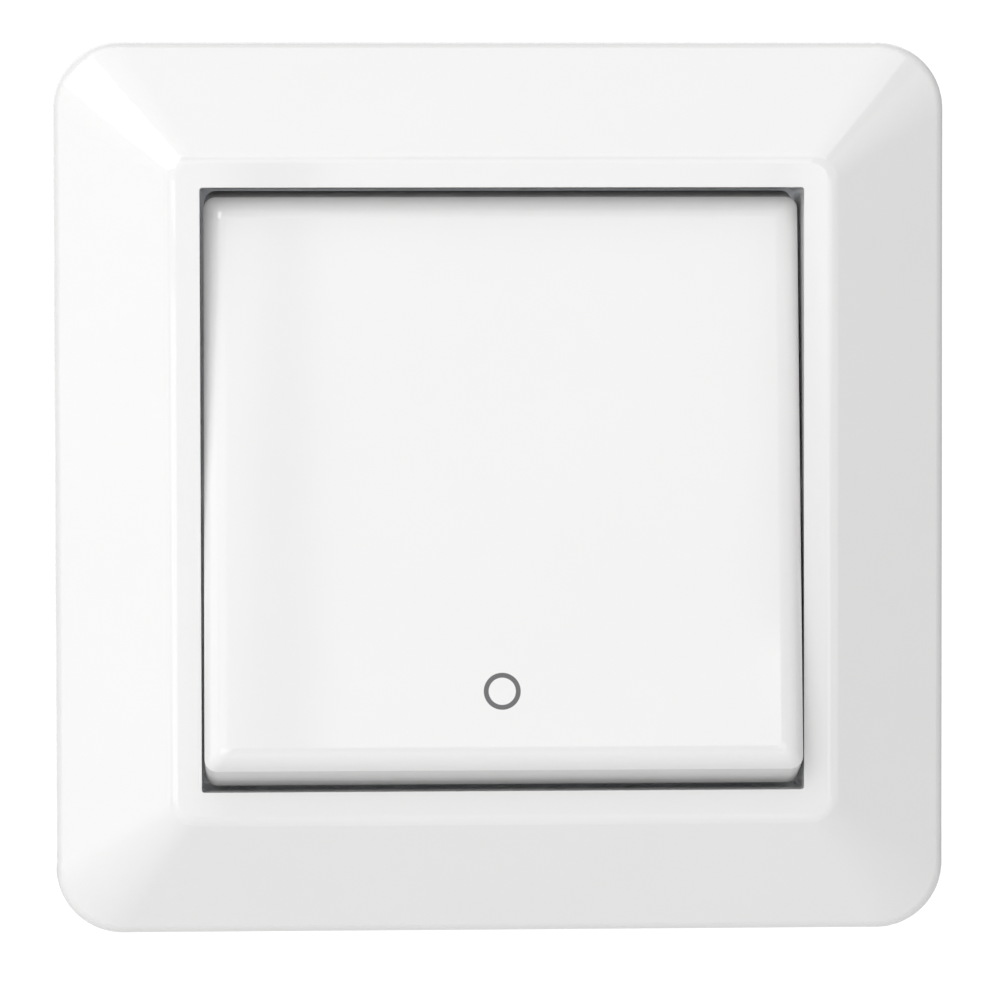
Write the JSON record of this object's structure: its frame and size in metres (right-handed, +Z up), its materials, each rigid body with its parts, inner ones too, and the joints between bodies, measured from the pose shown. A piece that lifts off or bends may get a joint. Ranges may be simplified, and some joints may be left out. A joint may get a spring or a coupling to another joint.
{
  "type": "two-pole light switch",
  "caption": "Flush-mounted two-pole rocker light switch: square cover frame, one large rocker, steel support plate and a body for a round wall box.",
  "frame": {"origin": "centre of the cover frame on the wall plane, which is the back face of the support plate", "axes": "+X right and +Z up as seen from the front, +Y into the wall, so the front faces -Y"},
  "size_m": [0.0834, 0.034, 0.0834],
  "materials": {
    "gloss_white": "glossy moulded white",
    "carrier_plastic": "moulded off-white",
    "base_plastic": "moulded light grey, fine matte",
    "plunger_plastic": "moulded, self-lubricating",
    "zinc_steel": "zinc-plated sheet",
    "screw_steel": "zinc-plated",
    "clamp_steel": "zinc-plated",
    "spring_steel": "drawn spring wire",
    "contact_brass": "stamped brass strip",
    "contact_silver": "silver rivet"
  },
  "bodies": {
    "housing": {"clamp_screws": "screw_steel", "cover_frame": "gloss_white", "fixed_contact_left": "contact_silver", "fixed_contact_right": "contact_silver", "fulcrum_terminal_left": "contact_brass", "fulcrum_terminal_right": "contact_brass", "housing_screws": "screw_steel", "mechanism_cover": "base_plastic", "output_terminal_left": "contact_brass", "output_terminal_right": "contact_brass", "support_plate": "zinc_steel", "switch_base": "base_plastic", "wire_clamp_bottom_left": "clamp_steel", "wire_clamp_bottom_right": "clamp_steel", "wire_clamp_top_left": "clamp_steel", "wire_clamp_top_right": "clamp_steel"},
    "rocker": {"rocker_button": "gloss_white", "rocker_carrier": "carrier_plastic", "plunger_spring_left": "spring_steel", "plunger_spring_right": "spring_steel"},
    "plunger_left": {"plunger_left": "plunger_plastic"},
    "contact_lever_left": {"contact_lever_left": "contact_brass", "moving_contact_left": "contact_silver"},
    "plunger_right": {"plunger_right": "plunger_plastic"},
    "contact_lever_right": {"contact_lever_right": "contact_brass", "moving_contact_right": "contact_silver"}
  },
  "joints": [
    {"name": "rocker_swing", "type": "hinge", "parent": "housing", "child": "rocker", "pos_m": [0, -0.004, 0], "axis": [1, 0, 0], "range_deg": [0, 12.4]},
    {"name": "plunger_left_slide", "type": "slide", "parent": "rocker", "child": "plunger_left", "axis": [0, -0.9942, 0.108], "range_m": [0, 0.0004], "stiffness_N_per_m": 600, "springref_m": -0.002, "deforming": ["plunger_spring_left"]},
    {"name": "contact_lever_left_tilt", "type": "hinge", "parent": "housing", "child": "contact_lever_left", "pos_m": [0, 0.01, 0], "axis": [1, 0, 0], "range_deg": [-20, 0]},
    {"name": "plunger_right_slide", "type": "slide", "parent": "rocker", "child": "plunger_right", "axis": [0, -0.9942, 0.108], "range_m": [0, 0.0004], "stiffness_N_per_m": 600, "springref_m": -0.002, "deforming": ["plunger_spring_right"]},
    {"name": "contact_lever_right_tilt", "type": "hinge", "parent": "housing", "child": "contact_lever_right", "pos_m": [0, 0.01, 0], "axis": [1, 0, 0], "range_deg": [-20, 0]}
  ],
  "couplings": [
    {"joint": "contact_lever_left_tilt", "follows": "rocker_swing", "ratio": -1.6129},
    {"joint": "contact_lever_right_tilt", "follows": "rocker_swing", "ratio": -1.6129}
  ]
}
